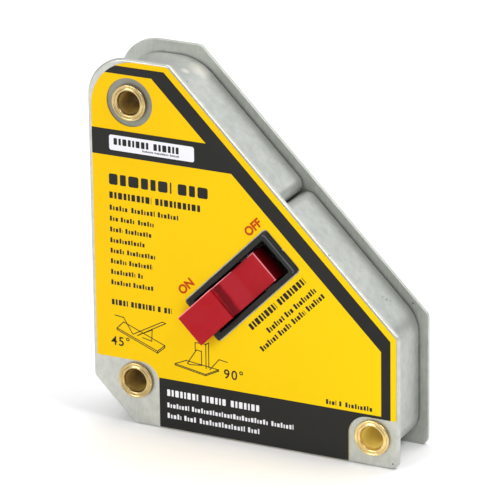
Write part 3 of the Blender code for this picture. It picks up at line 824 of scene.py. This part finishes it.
def build_label(yellow, black, white, orange):
    """The label's sheet and its print, in which plain ticks stand for words."""
    hole = circle(RIVETS["rivet_top"], LABEL_HOLE)
    margin = CLEARANCE
    window = in_plate(window_path(RIM_END + margin, RIM_SIDE + margin, 1.1 * MM))
    back = MIDDLE - LABEL_HIGH.y
    sheet = flat_mesh([label_path(), hole, window], -LABEL_FACE, -back)
    add_piece("label_sheet", sheet, "holder", [yellow], ["front_label"],
              smooth=False)
    add_print("print_black_frame", flat_mesh([black_print_path()], *ink_depths()), black)
    box = [(6.85 * MM, 83.4 * MM), (33.9 * MM, 83.4 * MM), (33.9 * MM, 88.0 * MM),
           (6.85 * MM, 88.0 * MM)]
    white_box = rounded_path(box, [0.7 * MM] * 4)
    add_print("print_white_box", flat_mesh([white_box], *ink_depths(2)), white)

    slope = math.radians(45)
    fine, broad = 1.0, 1.9
    rows = [
        (6.5, 72.9, 3.3, 0, broad, (20.0, 10.0)), (6.5, 68.7, 2.0, 0, 1.25, (13.5, 14.5)),
        (6.5, 65.1, 1.6, 0, fine, (6.0, 7.5, 6.5)), (6.5, 61.8, 1.5, 0, fine, (2.6, 4.6, 5.0)),
        (6.5, 58.5, 1.5, 0, fine, (4.0, 8.6)), (6.5, 55.2, 1.5, 0, fine, (11.0,)),
        (6.5, 52.0, 1.5, 0, fine, (4.4, 9.0)), (6.5, 48.8, 1.5, 0, fine, (5.0, 7.6)),
        (6.5, 45.5, 1.5, 0, fine, (7.8, 1.8)), (6.5, 42.3, 1.5, 0, fine, (6.2, 6.6)),
        (6.5, 36.1, 1.7, 0, 1.15, (5.2, 7.6, 1.0, 2.4)),
        (51.6, 35.4, 2.0, slope, 1.2, (11.5, 11.5)),
        (57.0, 35.4, 1.7, slope, fine, (7.0, 3.0, 9.0)),
        (54.9, 29.4, 1.7, slope, fine, (7.0, 5.0, 5.4, 7.4)),
        (74.6, 16.8, 1.5, 0, fine, (3.2, 1.0, 8.4)),
    ]
    add_print("print_words", words_mesh(rows, 1), black)
    pale = [(23.9, 10.6, 2.0, 0, 1.1, (10.0, 8.0, 9.5)),
            (23.9, 7.0, 1.5, 0, fine, (7.0, 24.5, 7.0)),
            (23.9, 3.7, 1.6, 0, fine, (4.4, 4.0, 14.5, 3.6))]
    add_print("print_pale_words", words_mesh(pale, 2), white)
    boxed = [(8.3, 85.1, 2.0, 0, 1.25, (11.5, 8.0)), (17.5, 84.1, 0.6, 0, fine, (3.5, 4.5, 3.0))]
    add_print("print_box_words", words_mesh(boxed, 3), black)

    bold, light, wide = 0.14 * MM, 0.05 * MM, 1.2
    lettering("print_on", "ON", (30.7 * MM, 45.4 * MM), 2.5 * MM, slope, orange, bold)
    lettering("print_off", "OFF", (52.2 * MM, 66.6 * MM), 2.5 * MM, slope, orange, bold)
    lettering("print_45_degrees", "45°", (9.1 * MM, 24.8 * MM), 2.7 * MM, 0, black, light, wide)
    lettering("print_90_degrees", "90°", (45.4 * MM, 20.4 * MM), 2.8 * MM, 0, black, light, wide)
    build_pictograms(black)


def build_pictograms(black):
    """Two line drawings: a bar clamped at 45 degrees and a plate clamped upright."""
    bm = bmesh.new()
    drawings = [
        [(8.0, 29.0), (10.2, 31.2), (23.4, 26.0), (21.0, 23.9), (8.0, 29.0)],
        [(8.0, 29.0), (8.0, 28.5), (21.0, 23.3), (23.4, 25.4), (23.4, 26.0)],
        [(21.0, 23.9), (21.0, 23.3)],
        [(13.2, 27.9), (22.8, 33.2), (23.8, 32.9), (14.6, 27.7)],
        [(15.4, 28.2), (19.4, 30.2), (19.2, 26.7), (16.2, 27.3)],
        [(13.0, 28.0), (10.2, 32.6), (7.4, 32.9)],
        [(26.6, 21.0), (30.2, 22.6), (40.6, 21.4), (36.4, 19.3), (26.6, 21.0)],
        [(26.6, 21.0), (26.6, 20.6), (36.4, 18.9), (40.6, 21.0), (40.6, 21.4)],
        [(36.6, 21.2), (36.6, 28.6), (37.5, 29.2), (37.5, 21.6)],
        [(33.2, 26.2), (33.2, 28.6), (36.6, 28.6)],
        [(30.6, 21.8), (33.6, 26.4), (35.2, 26.2), (35.2, 21.9), (31.4, 21.5), (30.6, 21.8)],
        [(37.8, 21.0), (40.8, 24.6), (43.4, 24.2)],
    ]
    for points in drawings:
        line_strip(bm, [(x * MM, z * MM) for x, z in points], 0.26 * MM)
    add_print("print_pictograms", bm, black)


# ---------------------------------------------------------------- switch

def switch_matrix():
    """Switch coordinates in world coordinates, from the joint's place and axis."""
    shaft = Vector(SWITCH["axis"])
    outward = Vector((0, -1, 0))
    to_off = shaft.cross(outward)
    turn = Matrix((to_off, shaft, outward)).transposed().to_4x4()
    return Matrix.Translation(AXIS) @ turn


def window_ring(bm, end, side, corner, height, nick=0.0):
    """One ring of the bezel, with a nick of the given depth at the middle of its OFF end."""
    path = window_path(end, side, corner)
    off_end = max(x for x, _ in path)
    place = max(i for i, (x, y) in enumerate(path) if x > off_end - 1e-7 and y < 0) + 1
    half, flare = 0.25 * MM, 0.15 * MM
    path[place:place] = [(off_end, -half - flare), (off_end - nick, -half),
                         (off_end - nick, half), (off_end, half + flare)]
    return [bm.verts.new((x, y, height)) for x, y in path]


def build_bezel(plastic, painted_highlight):
    """Frame of the switch: wide sloped rim, flat top, small lip round the opening."""
    under = HALF + CLEARANCE
    low = MIDDLE - BEZEL_HIGH.y
    top = BEZEL_TOP
    wall = BEZEL_WALL
    bm = bmesh.new()
    nick = BEZEL_NICK
    crest_end, crest_side = RIM_END - 0.95 * MM, RIM_SIDE - 0.6 * MM
    # End margin, side margin, corner radius in millimetres, height, depth of the nick
    levels = [
        (wall, wall, 0.5, low, 0), (wall, wall, 0.5, under, 0),
        (RIM_END, RIM_SIDE, 1.1, under, nick), (RIM_END, RIM_SIDE, 1.1, top - 0.5 * MM, nick),
        (RIM_END - 0.1 * MM, RIM_SIDE - 0.1 * MM, 1.0, top - 0.38 * MM, nick),
        (crest_end, crest_side, 0.8, top - 0.05 * MM, 0),
        (crest_end - 0.16 * MM, crest_side - 0.1 * MM, 0.7, top, 0),
        (crest_end - 0.3 * MM, crest_side - 0.2 * MM, 0.65, top - 0.03 * MM, 0),
        (0.75 * MM, 0.5 * MM, 0.55, top - 0.12 * MM, 0),
        (0.3 * MM, 0.3 * MM, 0.5, top - 0.1 * MM, 0),
        (0.12 * MM, 0.12 * MM, 0.5, top - 0.18 * MM, 0), (0.0, 0.0, 0.5, top - 0.36 * MM, 0),
        (0.0, 0.0, 0.5, low, 0),
    ]
    rings = [window_ring(bm, end, side, corner * MM, height, deep)
             for end, side, corner, height, deep in levels]
    bridge(bm, rings, closed=True)
    # Painted highlight: the crest faces at the OFF end take the paler grey, a line of light
    # painted along that edge.
    for face in bm.faces:
        middle = face.calc_center_median()
        on_crest = middle.z > top - 0.035 * MM
        if on_crest and middle.x > WINDOW_OFF:
            face.material_index = 1
    add_piece("bezel", bm, "holder", [plastic, painted_highlight], ["switch_bezel"],
              switch_matrix())


def lever_side():
    """Side view of the lever in the ON position, from the paddle's tip over the top and round."""
    tip = WINDOW_ON - RIM_END - PADDLE_REACH
    under = LEVER_TOP - PADDLE_SHEET
    back = LEVER_STEP
    nose = INNER_HALF - 0.4 * MM
    step = LEVER_TOP - LEVER_STEP_DEPTH
    span = nose - back
    scoop = []
    parts = 24
    for i in range(1, parts):
        share = i / parts
        level = step + (HALF - step) * share - LEVER_SCOOP * math.sin(math.pi * share)
        scoop.append((back + span * share, level))
    barrel = arc((0, 0), LEVER_BARREL, -math.radians(25), -math.radians(155), 20)
    heel = back + 0.5 * MM
    return [(tip, under), (tip, LEVER_TOP), (back, LEVER_TOP), (back, step), *scoop,
            (nose, HALF), (nose, LEVER_BARREL), *barrel, (heel, HALF - 6.0 * MM), (heel, under)]


def build_lever(plastic, painted_highlight):
    """Paddle and hub in one; the bevels on the lit side and along the ridge are paler, a painted
    highlight.
    """
    bm = bmesh.new()
    half = LEVER_HALF_WIDTH
    rings = [[bm.verts.new((x, y, z)) for x, z in lever_side()] for y in (-half, half)]
    bridge(bm, rings)
    bm.faces.new(rings[0])
    bm.faces.new(rings[1])
    bmesh.ops.recalc_face_normals(bm, faces=bm.faces)
    sharp = [edge for edge in bm.edges
             if len(edge.link_faces) == 2 and edge.calc_face_angle() > math.radians(35)]
    bmesh.ops.bevel(bm, geom=sharp, offset=LEVER_EDGE, segments=4, profile=0.6, affect="EDGES",
                    clamp_overlap=True, material=1)
    # Painted highlight: the paler bevel stays only on the lit side and along the ridge; the
    # bevels on the shaded side and deep in the window go back to the plain red.
    for face in bm.faces:
        middle = face.calc_center_median()
        ridge = middle.x > INNER_HALF - 1.0 * MM
        if middle.z < HALF - 0.5 * MM or (middle.y < half - 0.4 * MM and not ridge):
            face.material_index = 0
    add_piece("lever", bm, "rotor", [plastic, painted_highlight], ["switch_lever"],
              switch_matrix())


# ---------------------------------------------------------------- stage, lights, camera

def build_stage():
    """A plain pale floor."""
    bm = bmesh.new()
    bmesh.ops.create_grid(bm, x_segments=2, y_segments=2, size=12.0)
    mesh = bpy.data.meshes.new("floor")
    bm.to_mesh(mesh)
    bm.free()
    floor = bpy.data.objects.new("floor", mesh)
    bpy.context.scene.collection.objects.link(floor)
    n = Nodes("pale floor", 0.7, Specular_IOR_Level=0.1)
    mesh.materials.append(n.finish(n.blend(n.noise(3, 2), (0.93, 0.93, 0.93, 1),
                                           (0.91, 0.91, 0.91, 1))))


def add_softbox(name, place, aim, width, height, power):
    """A rectangular light of that power in watts, aimed at a point."""
    light = bpy.data.lights.new(name, "AREA")
    light.shape = "RECTANGLE"
    light.size = width
    light.size_y = height
    light.energy = power
    lamp = bpy.data.objects.new(name, light)
    bpy.context.scene.collection.objects.link(lamp)
    lamp.location = place
    lamp.rotation_mode = "QUATERNION"
    lamp.rotation_quaternion = (Vector(aim) - Vector(place)).to_track_quat("-Z", "Y")


def build_light():
    """Even studio light: a pale surround and four soft boxes."""
    scene = bpy.context.scene
    scene.view_settings.view_transform = "Standard"
    sky = bpy.data.worlds.new("studio")
    scene.world = sky
    sky.use_nodes = True
    tree = sky.node_tree
    backdrop = tree.nodes["Background"]
    backdrop.inputs["Color"].default_value = (1.0, 1.0, 1.0, 1)
    backdrop.inputs["Strength"].default_value = 0.5
    centre = (0.0, 0.0, 0.05)
    add_softbox("overhead", (0.0, 0.5, 1.5), (0.0, 0.2, 0.0), 1.4, 1.0, 13.0)
    add_softbox("key", (-0.6, -1.1, 0.8), centre, 0.8, 0.7, 8.5)
    add_softbox("slant", (0.62, -0.1, 0.85), centre, 0.35, 0.35, 4.0)
    add_softbox("back", (0.6, 1.4, 0.75), centre, 1.1, 0.7, 2.8)


def build_camera():
    """Long lens, from the right and above, rolled very slightly."""
    azimuth, elevation, roll = math.radians(26.51), math.radians(20.67), math.radians(-0.74)
    distance = 1.3453
    aim = Vector((-0.0020, -0.0009, 0.0558))
    back = Vector((math.sin(azimuth) * math.cos(elevation),
                   -math.cos(azimuth) * math.cos(elevation), math.sin(elevation)))
    right = Vector((math.cos(azimuth), math.sin(azimuth), 0))
    up = back.cross(right)
    turned_right = right * math.cos(roll) + up * math.sin(roll)
    turned_up = up * math.cos(roll) - right * math.sin(roll)
    data = bpy.data.cameras.new("camera")
    data.sensor_width = 36.0
    data.lens = 340.3
    data.clip_start = 0.05
    data.clip_end = 60.0
    camera = bpy.data.objects.new("camera", data)
    bpy.context.scene.collection.objects.link(camera)
    axes = Matrix((turned_right, turned_up, back)).transposed().to_4x4()
    camera.matrix_world = Matrix.Translation(aim + back * distance) @ axes
    bpy.context.scene.camera = camera


# ---------------------------------------------------------------- all together

def marks(*rows):
    """Places and radii of marks, from plate x, depth, plate z and radius in millimetres."""
    return [(world(x * MM, z * MM, depth * MM), radius * MM) for x, depth, z, radius in rows]


def main():
    build_camera()
    build_stage()
    build_light()
    top_rivet = world(*RIVETS["rivet_top"], 0)
    front_steel = plated_steel("front plate steel", srgb(204, 206, 200), srgb(186, 188, 182),
                               dull=(top_rivet.x, top_rivet.z, LABEL_HOLE + 0.2 * MM),
                               dents=marks((95.3, -11.0, 1.8, 0.28)))
    rear_steel = plated_steel("rear plate steel", srgb(190, 193, 186), srgb(172, 175, 168),
                              metallic=0.5)
    dents = marks((87.4, 2.2, 45.8, 0.26), (86.5, 1.5, 46.7, 0.18), (88.1, 3.4, 45.1, 0.2),
                  (94.3, -0.6, 8.1, 0.32), (77.1, 0.5, 56.1, 0.16), (94.3, 7.7, 20.4, 0.22))
    # Painted highlight: a pale patch on the band's top bend, where the bend reflects the light.
    painted_highlights = marks((27.5, 5.5, 105.2, 3.4), (26.0, 0.0, 106.6, 1.5))
    # The band's two edges take a dark line of painted shade where they meet the plates.
    band_steel = plated_steel("band steel", srgb(186, 189, 184), srgb(168, 172, 167),
                              (math.pi / 2, 0, 0), dents=dents, painted_highlights=painted_highlights,
                              shaded_seams=(BAND_LOW.y, BAND_HIGH.y))
    # Painted light: the foot rivet gets a lit copy of the brass and a lit bore, the other two a
    # shaded copy and a shaded bore.
    lit_brass = (srgb(244, 220, 160), srgb(224, 196, 132),
              srgb(255, 240, 150), srgb(248, 222, 116))
    shaded_brass = (srgb(214, 192, 140), srgb(190, 165, 110),
            srgb(190, 160, 84), srgb(148, 120, 58))
    yellow = printed("label yellow", srgb(240, 194, 0), srgb(236, 189, 0), 0.4,
                     srgb(242, 204, 0))
    black = printed("label black", srgb(37, 37, 36), srgb(44, 44, 42), 0.42)
    white = printed("label white", srgb(238, 238, 242), srgb(230, 230, 236), 0.4)
    orange = printed("label orange", srgb(196, 66, 12), srgb(184, 58, 10), 0.4)
    black_plastic = moulded("black plastic", srgb(36, 39, 37), srgb(27, 29, 28), 0.46,
                            0.01 * MM, 0.22)
    # Painted highlight: a paler grey for the lit crest of the bezel.
    highlight_black_plastic = moulded("rubbed black plastic", srgb(92, 94, 98), srgb(60, 62, 64), 0.36,
                           0.004 * MM, 0.4)
    # The lever's red carries painted light: a painted shadow band behind the step, a painted
    # highlight on the scoop and painted shade low on the nose.
    red_plastic = lever_plastic_with_painted_light("red plastic", srgb(168, 2, 20), srgb(98, 6, 18),
                                 srgb(170, 34, 46), srgb(60, 8, 16))
    # Painted highlight: a pale pink for the lever's lit bevels.
    highlight_red_plastic = moulded("rubbed red plastic", srgb(252, 150, 160), srgb(222, 92, 104), 0.28,
                         0.004 * MM, 0.45)
    build_plates(front_steel, rear_steel)
    build_band(band_steel)
    for name, centre in RIVETS.items():
        tones = lit_brass if name == "rivet_foot" else shaded_brass
        build_rivet(name, centre, brass(name + " brass", *tones))
    build_label(yellow, black, white, orange)
    build_bezel(black_plastic, highlight_black_plastic)
    build_lever(red_plastic, highlight_red_plastic)
    finishes = {
        "switch_well": black_plastic,
        "rotor_shaft": bare_metal("shaft steel", srgb(176, 178, 180), srgb(150, 152, 155), 0.32),
        "rotor_magnet": bare_metal("nickel", srgb(214, 212, 204), srgb(196, 194, 186), 0.22),
        "pole_shoe": bare_metal("pole iron", srgb(112, 112, 114), srgb(92, 92, 95), 0.5),
        "bearing_block": bare_metal("aluminium", srgb(200, 202, 204), srgb(184, 186, 188), 0.42),
        "thrust_washer": moulded("nylon", srgb(222, 218, 205), srgb(212, 207, 192), 0.5,
                                 0.006 * MM),
        "wave_washer": bare_metal("spring steel", srgb(135, 138, 146), srgb(112, 115, 124), 0.3),
        "shaft_clip": bare_metal("clip steel", srgb(128, 130, 138), srgb(106, 108, 116), 0.3),
    }
    for node, piece in frame["nodes"].items():
        for start, finish in finishes.items():
            if node.startswith(start):
                piece.data.materials.clear()
                piece.data.materials.append(finish)


main()
